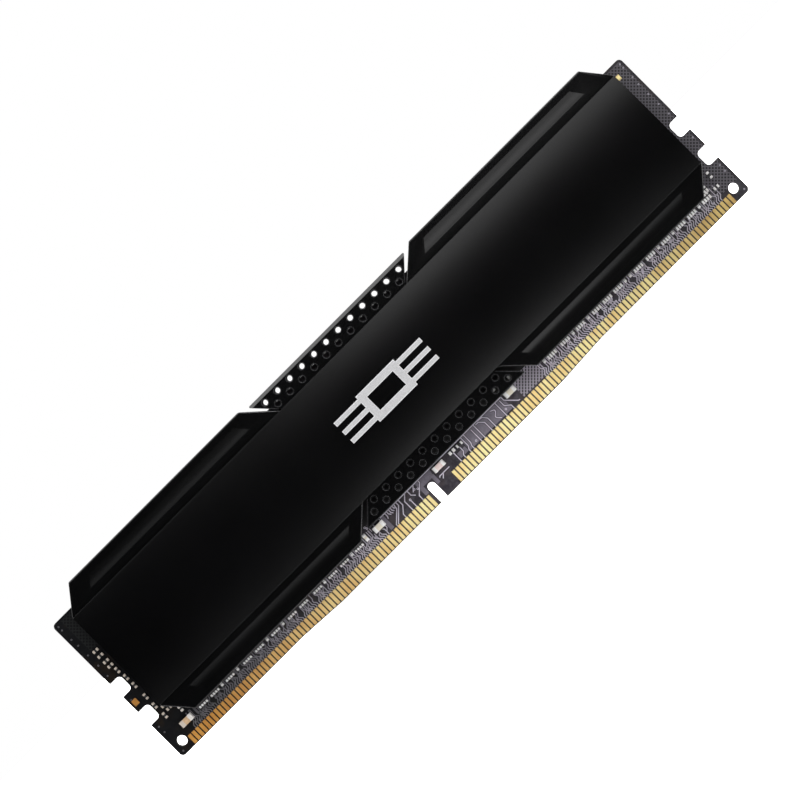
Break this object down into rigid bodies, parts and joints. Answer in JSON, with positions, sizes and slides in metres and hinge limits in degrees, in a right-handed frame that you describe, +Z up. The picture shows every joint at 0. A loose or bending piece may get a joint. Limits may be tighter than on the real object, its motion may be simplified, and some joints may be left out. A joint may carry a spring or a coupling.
{
  "type": "desktop memory module with heat spreaders",
  "caption": "Long slim memory module: a dark circuit board with gold edge contacts between two black aluminium heat spreaders with sunken channels and vented strips.",
  "frame": {"origin": "middle of the contact edge, on the circuit board's mid-plane", "axes": "+X along the module, +Z up from the contact edge, and the front heat spreader with the badge faces -Y"},
  "size_m": [0.1334, 0.008, 0.0344],
  "materials": {
    "solder_mask": "semi-gloss black solder mask over copper traces",
    "gold_plating": "hard gold plating",
    "black_anodised": "satin black anodised",
    "thermal_pad": "soft grey silicone pad",
    "chip_package": "moulded black epoxy",
    "silver_inlay": "fine satin silver",
    "label": "blank satin film",
    "capacitor": "tan ceramic with tinned ends",
    "resistor": "black glazed body with tinned ends"
  },
  "bodies": {
    "root": {"circuit_board": "solder_mask", "front_contacts_left": "gold_plating", "front_contacts_right": "gold_plating", "rear_contacts_left": "gold_plating", "rear_contacts_right": "gold_plating", "front_heat_spreader": "black_anodised", "rear_heat_spreader": "black_anodised", "front_thermal_pad": "thermal_pad", "rear_thermal_pad": "thermal_pad", "front_memory_chip_1": "chip_package", "front_memory_chip_2": "chip_package", "front_memory_chip_3": "chip_package", "front_memory_chip_4": "chip_package", "front_memory_chip_5": "chip_package", "front_memory_chip_6": "chip_package", "front_memory_chip_7": "chip_package", "front_memory_chip_8": "chip_package", "rear_memory_chip_1": "chip_package", "rear_memory_chip_2": "chip_package", "rear_memory_chip_3": "chip_package", "rear_memory_chip_4": "chip_package", "rear_memory_chip_5": "chip_package", "rear_memory_chip_6": "chip_package", "rear_memory_chip_7": "chip_package", "rear_memory_chip_8": "chip_package", "spd_memory_chip": "chip_package", "badge": "silver_inlay", "rear_label": "label", "end_capacitor": "capacitor", "edge_capacitor_1": "capacitor", "edge_capacitor_2": "capacitor", "edge_capacitor_3": "capacitor", "edge_capacitor_4": "capacitor", "resistor_array_01": "resistor", "resistor_array_02": "resistor", "resistor_array_03": "resistor", "resistor_array_04": "resistor", "resistor_array_05": "resistor", "resistor_array_06": "resistor", "resistor_array_07": "resistor", "resistor_array_08": "resistor", "resistor_array_09": "resistor", "resistor_array_10": "resistor", "resistor_array_11": "resistor", "resistor_array_12": "resistor", "resistor_array_13": "resistor", "resistor_array_14": "resistor", "resistor_array_15": "resistor", "resistor_array_16": "resistor", "resistor_array_17": "resistor", "resistor_array_18": "resistor", "resistor_array_19": "resistor", "resistor_array_20": "resistor", "resistor_array_21": "resistor", "resistor_array_22": "resistor", "resistor_array_23": "resistor", "resistor_array_24": "resistor"}
  },
  "joints": []
}
